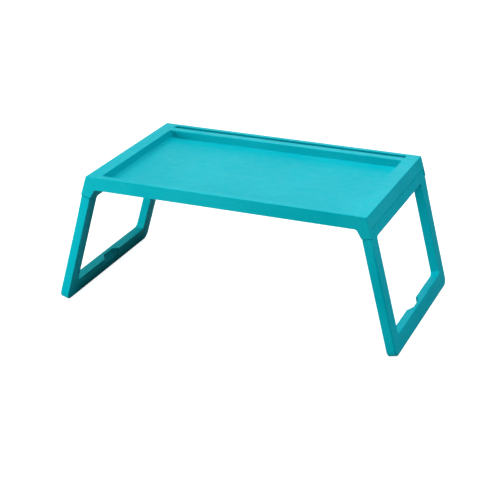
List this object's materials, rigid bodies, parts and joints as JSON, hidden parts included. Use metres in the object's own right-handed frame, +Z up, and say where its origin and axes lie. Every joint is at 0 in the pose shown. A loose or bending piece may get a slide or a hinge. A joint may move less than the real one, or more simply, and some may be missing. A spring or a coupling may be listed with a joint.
{
  "type": "folding tray table",
  "caption": "Low moulded tray table with a sunk top, a tablet slot along the rear rim and two loop legs that fold flat under it.",
  "frame": {"origin": "on the floor, under the middle of the tray", "axes": "+X along the tray to the right-hand leg, +Z up, -Y to the front, so +Y is the rear rim with the tablet slot"},
  "size_m": [0.6732, 0.36, 0.262],
  "materials": {
    "tray_plastic": "turquoise polypropylene, fine satin texture",
    "leg_plastic": "turquoise polypropylene, fine satin texture",
    "pin_steel": "ground steel dowel",
    "pad_soft": "soft turquoise elastomer, matte"
  },
  "bodies": {
    "tray": {"tray": "tray_plastic"},
    "right_leg": {"leg_right": "leg_plastic", "hinge_pin_right_front": "pin_steel", "hinge_pin_right_rear": "pin_steel", "foot_pad_right_front": "pad_soft", "foot_pad_right_rear": "pad_soft"},
    "left_leg": {"leg_left": "leg_plastic", "hinge_pin_left_front": "pin_steel", "hinge_pin_left_rear": "pin_steel", "foot_pad_left_front": "pad_soft", "foot_pad_left_rear": "pad_soft"}
  },
  "joints": [
    {"name": "right_leg_fold", "type": "hinge", "parent": "tray", "child": "right_leg", "pos_m": [0.26447, 0, 0.23168], "axis": [0, 1, 0], "range_deg": [0, 104.5]},
    {"name": "left_leg_fold", "type": "hinge", "parent": "tray", "child": "left_leg", "pos_m": [-0.26447, 0, 0.23168], "axis": [0, -1, 0], "range_deg": [0, 104.5]}
  ]
}
